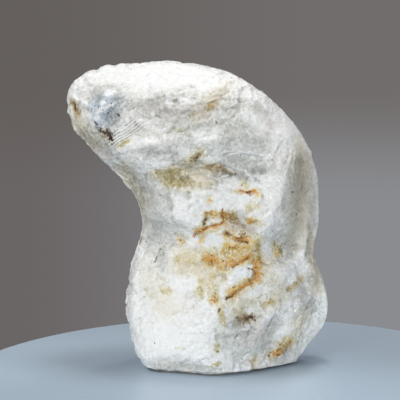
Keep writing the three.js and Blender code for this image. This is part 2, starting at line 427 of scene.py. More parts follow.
# Where the stone is stained, and where shade and light are painted on it, in mm. A mark is how far the stain
# reaches, and the points of its line.
frontStains = {
    "rust": [  # thin dark brown seams
        (0.95, (-2.5, 63.3), (0, 64.8), (1, 66), (3, 67.3), (5.5, 68), (8.5, 68.6), (10, 70)),
        (0.75, (10, 70), (10.2, 75.5)), (0.5, (0.8, 67), (1.6, 70), (3.4, 73.6), (5.2, 73.4)),
        (0.9, (11.8, 64.2), (14, 62.8)), (1.5, (15.6, 61.2), (20, 60.2)), (1, (16.5, 62.4), (20.5, 62.8)),
        (0.9, (17.6, 64.2), (20, 64.2)), (0.7, (17.5, 60), (15, 58.3), (13, 57.3)), (1.1, (11.2, 73)),
        (0.9, (13.7, 72.2)), (1, (5.2, 73.2)), (1.2, (21.6, 70.3)), (0.85, (14.5, 48.6), (18.5, 51.3)),
        (0.7, (18.5, 51.3), (22, 54)), (0.7, (21.8, 48), (24.5, 46.6)), (0.7, (24.5, 46.6), (25.6, 44.3)),
        (0.6, (25.2, 43.8), (24, 42.4)), (0.6, (22.4, 41.2), (19.6, 39.8)), (0.8, (15.6, 37.6), (12, 35.6)),
        (0.9, (18.8, 82.8), (22.3, 82.6)), (1, (5.2, 51.4)), (0.7, (7, 51.2)), (0.9, (-8.8, 59.4)),
        (0.9, (35.4, 8.8), (38, 8.6)), (0.8, (31.6, 6.2), (32.8, 8)), (0.9, (35.5, 6.6), (38.8, 6.8)),
        (0.7, (-57, 121.5), (-55.5, 118.6)), (2, (-41.2, 109.6), (-40.3, 107.8), (-39.4, 105.6)),
        (1.7, (-44.4, 110.4), (-42.8, 108.2)), (1.6, (19.6, 25.6), (23.2, 26.4)),
        (0.7, (15.2, 17.4), (17.2, 19)), (0.8, (-1.5, 97.6), (-0.7, 98.2)), (0.8, (6.2, 34.4)),
        (0.6, (36, 10.8), (38.5, 12.4)),
    ],
    "orange": [  # amber bands and spots
        (1.35, (-1.6, 63.8), (1, 66.2), (5, 67.7), (9, 68.6)), (0.9, (9.7, 70), (9.8, 73.5)),
        (1.5, (14.4, 49.2), (18.5, 51.9), (22.4, 54.6)), (1.75, (25.2, 50.6), (25.9, 46.5), (25.7, 43.8)),
        (1.35, (25.2, 43.6), (22, 41.3), (17.5, 39.3)), (0.9, (17.5, 39.3), (13.5, 37)),
        (1.7, (15.8, 62.3), (20.6, 61.4)), (1, (16, 59.3), (14, 58)), (1.15, (18.6, 82.8), (23.6, 82.7)),
        (2.2, (3.6, 52.6), (7, 51.6)), (1.3, (11.8, 72.6)), (1.2, (5, 73.3)), (1.1, (21.6, 70.3)),
        (0.5, (5.4, 120.9)), (0.7, (4.7, 78.9)), (1.6, (34.6, 7), (37.6, 7.6)), (1.3, (6.2, 34.6)),
        (1, (35.6, 52.4)), (1.2, (12, 50.6), (15, 51.4)), (0.9, (-2.6, 62.6)),
    ],
    "golden": [  # yellow between the bands and the wash
        (3.4, (3.4, 52.6), (7.2, 51.8)), (4, (10, 51), (22, 53.8)), (3.8, (12.5, 63.6), (21, 61)),
        (3, (25.5, 51), (25.8, 43.5)), (2.8, (25, 42.8), (13.5, 37.2)), (2.6, (-1, 64), (9.5, 69)),
        (2.4, (3.2, 73.4), (6, 73)), (2.6, (10.5, 72.6), (14, 72.2)), (2.2, (21.6, 70.3)),
        (2.3, (17.5, 83.3), (25, 83)), (2.4, (4.6, 78.8)), (2.4, (32.6, 7), (37.4, 8.2), (41, 11)),
        (2.4, (6, 34.8)), (1.6, (5.4, 121)), (4.4, (13, 58), (23, 56.5)), (2.2, (35, 53.5)), (3, (1, 61.5)),
        (1.8, (-8.8, 59.4)),
    ],
    "khaki": [  # broad greenish yellow wash
        (4.8, (-8, 52.6), (1.5, 52.4)), (4, (3, 56), (12, 56.6), (20, 56)), (4.4, (6, 51), (22, 52)),
        (4, (9, 48), (12.5, 46)), (2.8, (26, 62.6), (26.2, 49)), (2.2, (1, 67), (3, 73.6), (8, 73.2)),
        (2.6, (10, 72.4), (15, 72)), (2, (21.6, 70.3), (27, 69.3)), (2.4, (33, 58.6), (36.4, 53.4)),
        (2.2, (21.3, 75.8), (25.5, 76.2)), (2.6, (17, 86), (21, 85.2)),
        (2.6, (13.5, 38), (19, 41), (23.5, 43.4)), (2.6, (6, 45), (5, 39)), (2.2, (7, 36), (9.5, 31)),
        (2.2, (9, 29), (10.5, 25)), (2.2, (16, 28.6), (19, 29)), (2, (-8.9, 59.4)),
        (4, (-20, 91), (-9, 91.5)), (3.4, (-14, 87.5), (-4, 86)), (2.6, (-5, 96.4), (1, 100.6)),
        (2.6, (2.5, 94.8), (9, 92.8)), (2.4, (36, 11), (42, 13)), (1.8, (7, 5.6)), (2, (8, 13.6)),
        (2.4, (24, 6)), (2.6, (-57, 121), (-55, 117)), (2, (-34.6, 103.2), (-31.2, 104.8)),
        (2.6, (-17, 38), (-14, 37)), (2.4, (42, 38), (46, 41)), (1.6, (29, 31), (33, 33)),
        (3, (0, 42), (0, 37)), (1.8, (6, 122), (4, 120)),
    ],
    "olive": [  # mossy green
        (2.1, (-18, 91.6), (-12, 91)), (2.1, (-15, 87.6), (-6, 86.2)), (1.6, (-3, 97.4), (0.4, 100)),
        (1.6, (-34.4, 103.2), (-31.6, 104.6)), (1.5, (-10.5, 12.8), (-8, 13.2)), (1.6, (8, 12.6), (8, 15.4)),
        (1.4, (6, 5.4), (8, 6.4)), (1, (30, 32), (32.4, 33.2)), (2, (9, 28.6), (10.8, 25.6)),
        (1.6, (0, 39.5), (1, 36.4)), (1.6, (8, 40.6), (6.4, 36)), (1.3, (25.6, 62), (25.8, 53)),
        (1.6, (4.8, 50.9), (7.2, 50.8)), (1, (33, 58.4), (35, 55.6)), (1.2, (-11, 110.4), (-7, 110.4)),
        (1.4, (20, 86.6), (18.6, 85.6)), (1.3, (0, 86), (4, 86)), (1.3, (-16.5, 36.6)), (0.8, (44, 39.6)),
        (1.4, (22, 76)), (1.1, (14, 83), (17.5, 82.7)), (1.8, (16.5, 57.8), (12.5, 57)), (1.6, (1.4, 52.6)),
        (2, (12.5, 72)), (1.3, (23.5, 69.9)), (1.4, (17.5, 39.8), (20.5, 41.8)),
    ],
    "tanAndShade": [  # pale brown stains, and painted shade in the hollow under the hood, in the recess right of the facet and along the right rim
        (4.2, (12, 129), (7.5, 125.5), (4, 121.6), (-1, 116.5)), (1.8, (3, 93.6), (12, 91.4)),
        (2.4, (-57.5, 122), (-55.4, 118.4)), (1.8, (-43, 107.2)), (2.6, (41, 38), (46, 41)),
        (3.4, (17.5, 26), (24.5, 25.8)), (1.2, (50, 66), (50, 58)), (1.8, (-10, 62.4), (-6, 61.4)),
        (3.2, (52, 57), (55, 36)), (2, (24.5, 1), (26, 6)), (4, (13.5, 70), (22, 66.5)),
    ],
    "umber": [  # dark brown stains, and painted shade in the hollow under the hood
        (1.8, (3.5, 94), (11, 92)), (1.3, (10, 91.5), (16, 90)), (1.3, (-1.8, 97.6), (-0.4, 99)),
        (2, (18, 25.4), (23.5, 26)), (1.1, (-57.2, 121.5), (-55, 117.5)), (2.4, (-43.5, 109.5), (-41, 107)),
        (1.6, (11.8, 64.2), (20, 60.6)), (1.1, (13.6, 70.4), (20, 67.6)), (1.2, (1.4, 70.5), (5, 73.4)),
        (2, (10, 72.2), (14.6, 72)), (1.2, (24.5, 46.6), (21, 40.6), (12, 35.6)),
        (0.8, (36, 55), (37.2, 53.2)), (1.6, (5, 51)),
    ],
    "frost": [  # crisp white crystals
        (1.3, (-45.2, 118), (-43, 119.7)), (1.4, (-41.5, 119.7), (-38.8, 121)),
        (1.4, (-40.3, 126.7), (-37.6, 125.8)), (1.4, (-46.6, 114), (-45.2, 115.7)),
        (1.3, (-43, 122), (-41.6, 122.7)), (1.5, (-56.5, 127), (-53, 124)), (0.9, (-52.5, 122.6), (-50, 121)),
        (0.8, (-26.8, 115), (-25, 114)), (1, (-31.4, 100.4), (-28.7, 103)),
        (1.4, (-27, 105.3), (-19.7, 106.4)), (0.8, (21, 109.4), (22, 108.6)),
        (0.55, (12.5, 99), (17, 100.3), (22, 100.6), (27.8, 98.5)), (0.5, (3, 90), (7.3, 88), (12.6, 89.7)),
        (0.5, (20, 92.3), (22.2, 90)), (1.1, (36, 109.6), (39, 104)), (1, (30.2, 115.7), (33.6, 118.3)),
        (1.2, (-8.4, 123.7), (-4, 122.4)), (1.4, (32.4, 71.5)), (1.6, (14, 44.6), (20, 47.4)),
        (0.6, (-36.6, 108.6), (-29, 114)), (0.5, (-37, 106.4), (-29, 111.6)), (1.2, (4.6, 62.6), (8, 61.6)),
        (1, (28, 75), (31, 77)), (1.6, (-12, 80), (-9, 76)),
    ],
    "cream": [  # faint yellow
        (5, (44, 104), (46, 86)), (6, (46, 84), (44, 60)), (5, (30, 48), (35, 43)),
        (3.6, (14, 33.5), (24, 33.5)), (8, (-23, 39), (-16, 28)), (6, (-12, 90), (0, 90)),
        (6, (-8, 48), (4, 46)), (5, (30, 32), (36, 36)), (5, (40, 14), (48, 22)), (5, (-56, 112), (-48, 104)),
        (4, (48, 100), (47, 84)), (5, (-34, 90), (-29, 76), (-30, 62)),
    ],
    "mauve": [  # faint pink
        (4.6, (13.5, 70), (22, 66.5)), (6, (-19, 119), (-8, 117)), (4, (24, 118), (34, 109)),
        (5, (22, 16), (28, 20)),
    ],
    "blueGrey": [  # the patch on the nose
        (6, (-40, 122), (-40.5, 118), (-43.5, 114)), (4, (-46, 121), (-42, 124)),
    ],
    "greyAndShade": [  # clear, darker calcite, and painted shade where the stone turns from the light: the neck under the hood, under the nose and along the right flank
        (4, (-38, 114), (-36, 117)), (6, (-24, 116), (2, 118), (20, 119)), (3.5, (-24, 84), (-19, 78)),
        (3.4, (18, 73)), (5, (16, 22), (19, 19)), (3.5, (46, 36), (51, 27)), (4, (36, 5), (42, 9)),
        (4, (-8, 94), (-2, 95)), (3, (-18, 55), (-17, 48)), (1.8, (-10.5, 82), (-5, 80.5)),
        (1.4, (-4, 75.5), (-1, 78)), (12, (-20, 117), (0, 112), (22, 106)), (10, (-24, 84), (-20, 62)),
        (3, (-54, 122), (-50, 118)), (4, (-41, 118), (-38, 112)), (3.2, (44, 97), (44, 88)),
        (7, (44, 86), (41, 76), (41, 58)), (3.2, (8, 89), (26, 88)), (6, (-47, 127), (-36, 128)),
        (6, (-28, 80), (-28, 62)), (4, (-18, 92), (-6, 87)), (5.5, (14, 124), (28, 119)),
        (4, (50, 57), (54, 40)), (6, (-9, 107), (18, 110)), (4, (-34, 122), (-24, 121)),
        (4, (-38, 97), (-28, 86)), (2, (-14.5, 83), (-14, 75)), (4.5, (-22, 3), (-8, 3.5)),
        (3, (-8, 4), (4, 3)), (5, (28, 10), (33, 22)), (5, (10, 18), (16, 12)), (5, (22, 93), (31, 93)),
        (4, (7, 105.5), (17, 106)), (4, (-14, 115), (-10, 112)), (6, (-50, 108), (-40, 99)),
        (5, (-25, 102.5), (-12, 100)), (5, (12, 97), (20, 96)), (2.4, (-42, 129), (-38, 128.5)),
        (3, (-37, 108), (-28, 113)),
    ],
    "whiteAndLight": [  # milky, lighter calcite, and painted light on the top band and along the right crown rim
        (3, (-8.5, 80), (-7.5, 73)), (2.2, (-2, 82), (-3, 75)), (13, (-26, 36), (-14, 17)),
        (6, (-4, 20), (-2, 12)), (8, (-40, 134.5), (0, 136), (26, 127)), (6, (35, 110), (41, 103)),
        (4, (34, 46), (42, 41)), (3, (42, 48.5), (46, 51)), (3, (32, 71.5)), (3, (-28, 105), (-20, 106)),
        (2, (-34, 101.8), (-30, 103)), (4, (20, 118), (28, 112)), (3, (-1, 107), (7, 109)),
        (3.6, (14.5, 44.4), (21.5, 47)), (2.8, (5, 63.5)), (5, (9, 79), (16, 80)), (4, (28, 86), (34, 88)),
        (1.6, (-43.5, 121.5), (-42, 122.5)), (2, (-41, 125.5), (-37, 127)), (2, (-56, 125), (-51, 121.5)),
        (2, (-13.5, 122)), (2, (1, 129)), (2.5, (-26, 114.6), (-22, 112.5)), (1.5, (-20.5, 117)),
        (1.2, (-35, 109.5), (-29, 112.5)), (2, (2.5, 31.5)), (3, (27, 116)), (3, (3, 60), (9, 61)),
        (4, (50, 18), (55, 24)), (6, (12, 134), (24, 129), (36, 119), (45, 107)),
        (3.4, (14, 86), (22, 83), (27, 88)), (3.4, (1, 76), (5, 76)), (2.6, (-5, 64), (-1, 62)),
        (3, (-24, 93), (-15, 94)), (3.4, (36, 16), (42, 18)), (3.4, (-12, 42), (-3, 42)),
        (5, (-8, 25), (0, 21)), (4, (-32, 30), (-31, 12)), (5, (-30, 14), (-26, 6)),
        (4, (44, 110), (49, 100)),
    ],
    "speck": [  # black dots
        (0.75, (1.9, 70.2), (2.1, 70.9)), (0.7, (1.3, 68.6), (1.7, 69.1)), (1, (21, 25.2), (23.6, 26.4)),
        (1, (24.8, 24.6)), (0.8, (8.4, 30.1), (8.9, 31)), (0.5, (6.8, 114.3), (7, 112.6)),
        (1.8, (-41.4, 109), (-40.2, 107.4), (-39.6, 105.8)), (1.6, (-44.2, 109.6), (-42.6, 108.4)),
        (1.2, (-36, 116.6)), (0.8, (-46.9, 113.4), (-46, 112)), (0.7, (-56.6, 120.8), (-55.8, 119)),
        (0.7, (-20.6, 50), (-19.8, 51.6)), (0.5, (-19, 54), (-18.2, 55.4)),
        *dotMarks(0.5,
            (8.3, 63.6), (43.5, 82.2), (40.9, 95.1), (39, 101.7), (7.1, 51), (-14.4, 91), (2.5, 95.3),
            (-5.8, 86.2), (26.5, 31), (-25.8, 125), (43, 72)),
        *dotMarks(0.6,
            (26.6, 57.8), (26.8, 61.5), (20.3, 64.8), (12, 64.9), (14, 63.5), (17, 61.3), (19.8, 60.3),
            (17.1, 26.8), (33.3, 58.5), (38.7, 67.2), (38.2, 57.5), (4.9, 125.8), (12.9, 120.2),
            (18.8, 118.5), (-41, 122.8), (-38.4, 118.6), (-43, 119), (-35.4, 121.8), (-8.9, 59.6),
            (-17.3, 58.2), (37, 9), (5.1, 50.9), (-15.8, 89.2), (15.4, 90.4), (0.7, 38), (-35.2, 94.8),
            (-16.3, 36.8), (-27, 17.5), (16.2, 18.2)),
        *dotMarks(0.7,
            (37.2, 54.4), (37.4, 52), (29.3, 91), (-43, 105), (-45, 120), (-37.3, 120.5), (-17.9, 81.2),
            (-24.6, 58), (15, 39.9), (20.4, 82.6), (-20.3, 14.3)),
        *dotMarks(0.8,
            (24.3, 56.4), (40.1, 77), (41.2, 82.3), (-37.3, 115.6), (-39.4, 121.4), (12.1, 35.7),
            (-10.3, 13), (-1.2, 97.8)),
        *dotMarks(0.9,
            (-39.6, 103.4), (-40.8, 117), (31.7, 6.2)),
    ],
}
backStains = {
    "rust": [(1, (-10, 60), (-4, 50), (-6, 40)), (1.2, (12, 66), (15, 62)), (1, (20, 96), (30, 94))],
    "orange": [(2.2, (-9, 58), (-4, 50), (-6, 42)), (2.2, (12, 66), (14, 63)), (1.6, (22, 95.5), (28, 94))],
    "golden": [(4.5, (-9, 58), (-4, 50), (0, 32)), (4, (12, 66), (16, 72)), (3, (12, 102), (30, 94))],
    "khaki": [(10, (-10, 58), (-2, 34)), (8, (12, 70), (26, 96)), (6, (-24, 20), (-14, 14))],
    "olive": [(3.5, (-20, 44), (-14, 40)), (3, (26, 22), (30, 30)), (2.5, (-2, 34), (4, 28))],
    "tanAndShade": [(8, (-26, 110), (-14, 106)), (9, (8, 74), (18, 84)), (8, (24, 12), (34, 20))],
    "umber": [(2.4, (11, 66), (14, 64))],
    "frost": [(1.6, (-10, 100), (0, 104)), (1.6, (10, 50), (16, 54))],
    "cream": [(12, (-20, 90), (20, 70)), (8, (30, 50), (24, 20))],
    "mauve": [(8, (-10, 110), (10, 112)), (8, (16, 44), (24, 36))],
    "blueGrey": [(6, (-34, 116), (-28, 112)), (6, (-6, 24), (4, 18))],
    "greyAndShade": [(12, (-20, 100), (16, 92)), (12, (24, 60), (18, 34)), (8, (-20, 70), (-24, 40))],
    "whiteAndLight": [(9, (-30, 128), (10, 130)), (8, (-4, 78), (2, 66)), (9, (-10, 24), (8, 10))],
    "speck": [(1.2, (12, 66)), (1.1, (-18, 44)), (1, (24, 104)), (0.9, (-4, 50)), (0.9, (8, 34))],
}


def smoothStep(low, high, values):
    t = np.clip((values - low) / (high - low), 0, 1)
    return t * t * (3 - 2 * t)


gridSize = 32  # the random grids repeat after so many cells
grid = (gridSize, gridSize, gridSize)


def waves(points, wave, seed):  # smooth random heights from -1 to 1
    heights = np.random.default_rng(seed).uniform(-1, 1, grid)
    at = points / wave
    cell = np.floor(at).astype(int)
    t = smoothStep(0, 1, at - cell)
    total = np.zeros(len(points))
    for corner in np.ndindex(2, 2, 2):
        share = np.prod(np.where(corner, t, 1 - t), axis=1)
        i, j, k = ((cell + corner) % gridSize).T
        total += share * heights[i, j, k]
    return total


def tornCells(points, size, tilt, step, seed):  # level, slope and squared distance of each cell near a point
    dice = np.random.default_rng(seed)
    middles = dice.uniform(0.05, 0.95, (*grid, 3))
    leans = dice.normal(0, tilt, (*grid, 3))
    levels = dice.uniform(-step, step, grid)
    at = points / size
    base = np.floor(at).astype(int)
    for shift in np.ndindex(3, 3, 3):
        near = base + shift - 1
        i, j, k = (near % gridSize).T
        away = at - near - middles[i, j, k]
        yield levels[i, j, k], (away * leans[i, j, k]).sum(1) * size, (away ** 2).sum(1)


def scoops(points, size, depth, tilt, seed):  # shallow bowls side by side, as where flakes broke off
    softness = 0.12 * depth  # of the arrises between them
    total = np.zeros(len(points))
    for level, slope, apart in tornCells(points, size, tilt, 0.5, seed):
        bowl = level * depth + slope + 3 * depth * apart
        total += np.exp(-np.clip(bowl / softness, -60, 60))
    lift = -softness * np.log(total + 1e-30)
    return lift - lift.mean()


def flakes(points, size, tilt, step, seed):  # flat faces side by side, each with its own lean and level
    total, weights = np.zeros(len(points)), np.full(len(points), 1e-12)
    for level, slope, apart in tornCells(points, size, tilt, step, seed):
        weight = np.exp(-24 * apart)  # high, so that the steps between the faces stay crisp
        total += weight * (slope + level)
        weights += weight
    return total / weights


def mound(points, middle, halfWidth, halfHeight):  # 1 at a place on the face, and less around it
    gap = (points[:, [0, 2]] - middle) / (halfWidth, halfHeight)
    return np.exp(-(gap ** 2).sum(1))


def alongLine(spots, line):  # distance from a line, and the offset to its right-hand side
    distance = np.full(len(spots), np.inf)
    offset = np.zeros(len(spots))
    if len(line) == 1:
        return np.hypot(*(spots - line[0]).T), offset
    for start, end in zip(line, line[1:]):
        run = np.subtract(end, start).astype(float)
        gap = spots - start
        share = np.clip((gap @ run) / (run @ run), 0, 1)
        far = np.hypot(*(gap - share[:, None] * run).T)
        closer = far < distance
        distance[closer] = far[closer]
        right = (gap[:, 0] * run[1] - gap[:, 1] * run[0]) / np.hypot(*run)
        offset[closer] = right[closer]
    return distance, offset


def readSkin(stone):  # points in mm, and normals
    points, normals = np.empty((2, len(stone.data.vertices) * 3), np.float32)
    stone.data.vertices.foreach_get("co", points)
    stone.data.vertices.foreach_get("normal", normals)
    return points.reshape(-1, 3).astype(float) / mm, normals.reshape(-1, 3).astype(float)


def movePoints(stone, points):
    points[:, 2] = np.maximum(points[:, 2], 0)
    stone.data.vertices.foreach_set("co", (points * mm).astype(np.float32).ravel())
    stone.data.update()


front, back = -1, 1  # ways along Y


def sideShare(normals, way):  # 1 where the stone faces that way along Y, 0 where it faces the other
    return smoothStep(*stoneShape["sideTurn"], way * normals[:, 1])


def shaken(points, wave, shift, seeds):
    return shift * np.stack([waves(points, wave, seed) for seed in seeds], 1)


def strayed(points):  # places on the face, shaken a little so that no line comes out straight
    return points[:, [0, 2]] + sum(shaken(points, *stray) for stray in stoneShape["stray"])


def ruggedness(points):  # how broken the surface is, from 0 to about 1.5
    broad = stoneShape["ruggedness"]
    patches = smoothStep(*broad["edge"], waves(points, broad["wave"], broad["seed"]))
    rugged = broad["least"] + broad["more"] * patches
    for middle, halfWidth, halfHeight, factor in stoneShape["temper"]:
        rugged *= 1 + (factor - 1) * mound(points, middle, halfWidth, halfHeight)
    return rugged


def bulge(points, normals):  # moves the broad forms forwards and back, which keeps the outline
    for way, shape in ((front, frontShape), (back, backShape)):
        share = sideShare(normals, way)
        for middle, halfWidth, halfHeight, lift in shape["swells"].values():
            points[:, 1] += way * lift * share * mound(points, middle, halfWidth, halfHeight)
        for line, steepness, width in shape["slopes"].values():
            distance, offset = alongLine(points[:, [0, 2]], line)
            fall = np.clip(offset, 0, width) * smoothStep(*stoneShape["slopeStart"], offset)
            beyond = np.sqrt(np.maximum(distance ** 2 - offset ** 2, 0)) / stoneShape["slopeEnd"]
            facing = smoothStep(*stoneShape["slopeTurn"], way * normals[:, 1])
            points[:, 1] -= way * steepness * fall * facing * np.exp(-beyond ** 2)


def featureLift(points, normals):  # ledges, cracks, pits and knobs
    spots = strayed(points)
    lift = np.zeros(len(points))
    for way, shape in ((front, frontShape), (back, backShape)):
        share = sideShare(normals, way)
        for line, rise, softness, reach in shape["ledges"].values():
            distance, offset = alongLine(spots, line)
            lift += share * rise * 0.5 * np.tanh(offset / softness) * np.exp(-(distance / reach) ** 2)
        grooves = [*shape["cracks"].values()]
        grooves += [([middle], depth, radius) for middle, depth, radius in shape["pits"]]
        for line, depth, halfWidth in grooves:
            lift -= share * depth * np.exp(-(alongLine(spots, line)[0] / halfWidth) ** 2)
    for middle, radius, rise in stoneShape["knobs"]:
        lift += rise * np.exp(-(alongLine(points[:, [0, 2]], [middle])[0] / radius) ** 2)
    return lift


def bladeComb(points, normals):  # the blades' height, from -1 to 1
    blades = stoneShape["blades"]
    distance, offset = alongLine(points[:, [0, 2]], blades["line"])
    drift = sum(shift * waves(points, wave, seed) for wave, shift, seed in stoneShape["bladeDrift"])
    comb = np.sin((offset + drift) * 2 * math.pi / blades["spacing"])
    share = smoothStep(blades["reach"], blades["reach"] - blades["fadeOut"], distance)
    return comb * share * sideShare(normals, front)


def brokenLift(points):  # scoops, flakes and roughness that run all over the stone
    turn = math.radians(stoneShape["layerTilt"])
    along = points[:, 0] * math.cos(turn) + points[:, 2] * math.sin(turn)
    across = points[:, 2] * math.cos(turn) - points[:, 0] * math.sin(turn)
    layered = np.stack([along * stoneShape["layerStretch"], points[:, 1], across], 1)
    layered += shaken(points, *stoneShape["layerBend"])
    lift = np.zeros(len(points))
    for scoop in stoneShape["scoops"]:
        lift += scoops(layered, *scoop)
    patches = stoneShape["flakePatches"]
    for size, tilt, step, seed in stoneShape["flakes"]:
        share = smoothStep(*patches["edge"], waves(points, patches["size"] * size, seed + 1))
        share = patches["least"] + patches["more"] * share
        lift += share * flakes(layered, size, tilt, step, seed)
    for wave, rise, seed in stoneShape["roughness"]:
        lift += rise * waves(points, wave, seed)
    return lift * ruggedness(points)


def copyCadStone():
    stone = bpy.data.objects.new("rough_marble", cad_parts["marble_stone"].data.copy())
    bpy.context.collection.objects.link(stone)
    stone.data.materials.clear()
    pick(stone)
    setMode("EDIT")
    bpy.ops.mesh.select_all(action="SELECT")
    bpy.ops.mesh.remove_doubles(threshold=0.01 * mm)
    bpy.ops.mesh.tris_convert_to_quads()
    setMode("OBJECT")
    return stone


def remesh(stone):
    pick(stone)
    levels = stoneShape["rounding"]
    modify(stone, "rounding", "SUBSURF", levels=levels, render_levels=levels)
    modify(stone, "evenSkin", "REMESH", mode="VOXEL", voxel_size=stoneShape["faceSize"] * mm)
    strength, rounds = stoneShape["calm"]
    modify(stone, "calm", "SMOOTH", factor=strength, iterations=rounds)


def refine(stone):  # smaller faces on the front, where there are cracks, ledges, blades and seams
    points, normals = readSkin(stone)
    spots = strayed(points)
    detailed = points[:, 2] < stoneShape["rimHeight"]
    lines = [(2 * softness, *line) for line, rise, softness, reach in frontShape["ledges"].values()]
    lines += [(2 * halfWidth, *line) for line, depth, halfWidth in frontShape["cracks"].values()]
    lines += [(1.8 * radius, middle) for middle, depth, radius in frontShape["pits"]]
    lines += [(stoneShape["blades"]["reach"], *stoneShape["blades"]["line"])]
    for reach, *line in lines + frontStains["rust"] + frontStains["speck"]:
        detailed |= alongLine(spots, line)[0] < reach
    detailed &= normals[:, 1] < -stoneShape["facing"]
    corners = np.empty(len(stone.data.loops), np.int32)
    stone.data.loops.foreach_get("vertex_index", corners)
    chosen = detailed[corners.reshape(-1, 4)].all(1)
    pick(stone)
    setMode("EDIT")
    bpy.ops.mesh.select_mode(type="FACE")
    bpy.ops.mesh.select_all(action="DESELECT")
    setMode("OBJECT")
    stone.data.polygons.foreach_set("select", chosen)
    setMode("EDIT")
    bpy.ops.mesh.subdivide(number_cuts=1)
    setMode("OBJECT")


def carve(stone):
    points, normals = readSkin(stone)
    bulge(points, normals)
    drop, end = stoneShape["footDrop"]
    points[:, 2] -= drop * (1 - smoothStep(0, end, points[:, 2]))  # the rounded foot is set down again
    movePoints(stone, points)
    refine(stone)
    points, normals = readSkin(stone)
    relief = featureLift(points, normals) + stoneShape["blades"]["height"] * bladeComb(points, normals)
    relief += brokenLift(points) - stoneShape["sink"]
    underside = 1 - smoothStep(*stoneShape["soleHeight"], points[:, 2])
    relief *= 1 - underside * smoothStep(*stoneShape["soleTurn"], normals[:, 2])
    moved = points + normals * relief[:, None]
    low = stoneShape["footDrawn"] * (1 - smoothStep(*stoneShape["gapHeight"], points[:, 2]))
    middle = points[points[:, 2] < 1, :2].mean(0)  # of the sole
    moved[:, :2] -= low[:, None] * (points[:, :2] - middle)
    movePoints(stone, moved)


def countTriangles(stone):
    return sum(len(face.vertices) - 2 for face in stone.data.polygons)


def thin(stone):  # larger faces at the back, so that the whole stays light enough
    points, normals = readSkin(stone)
    group = stone.vertex_groups.new(name="plainSide")
    group.add(np.flatnonzero(normals[:, 1] > stoneShape["facing"]).tolist(), 1.0, "REPLACE")
    before = countTriangles(stone)
    pick(stone)
    ratio = stoneShape["mostTriangles"] / before
    modify(stone, "fewer", "DECIMATE", ratio=ratio, vertex_group="plainSide")
    stone.vertex_groups.remove(stone.vertex_groups["plainSide"])
    print("stone thinned from", before, "to", countTriangles(stone), "triangles")


stone = copyCadStone()
remesh(stone)
print("stone remeshed")
carve(stone)
print("stone carved")
thin(stone)
for face in stone.data.polygons:
    face.use_smooth = True


def writeField(stone, name, values):
    field = stone.data.attributes.new(name, "FLOAT", "POINT")
    field.data.foreach_set("value", values.astype(np.float32))


edgeRounds = {3: "arris", 24: "ridge"}  # rounds of smoothing that each field compares the skin with


def markEdges(stone):  # above 0 on arrises and broader ridges, below 0 in hollows, in mm
    points, normals = readSkin(stone)
    ends = np.empty(len(stone.data.edges) * 2, np.int32)
    stone.data.edges.foreach_get("vertices", ends)
    near, far = ends.reshape(-1, 2).T
    near, far = np.concatenate([near, far]), np.concatenate([far, near])
    count = np.bincount(near, minlength=len(points))
    calm = points.copy()
    for step in range(1, max(edgeRounds) + 1):
        calm = np.stack([np.bincount(near, calm[far, axis], len(points)) for axis in range(3)], 1)
        calm /= count[:, None]
        if step in edgeRounds:
            writeField(stone, edgeRounds[step], ((points - calm) * normals).sum(1))


def markStains(stone):  # one field for each stain and for the painted shade and light: 1 on its line, 0 where its reach ends, less further out
    points, normals = readSkin(stone)
    spots = strayed(points)
    for kind in frontStains:
        strongest = np.full(len(points), -2.0)
        for way, marks in ((front, frontStains[kind]), (back, backStains[kind])):
            share = sideShare(normals, way)
            for reach, *line in marks:
                closeness = np.maximum(1 - alongLine(spots, line)[0] / reach, -2)
                strongest = np.maximum(strongest, share * (closeness + 2) - 2)
        writeField(stone, kind, strongest)
    writeField(stone, "rugged", ruggedness(points))
    writeField(stone, "blade", bladeComb(points, normals))


markEdges(stone)
markStains(stone)
print("stains marked")


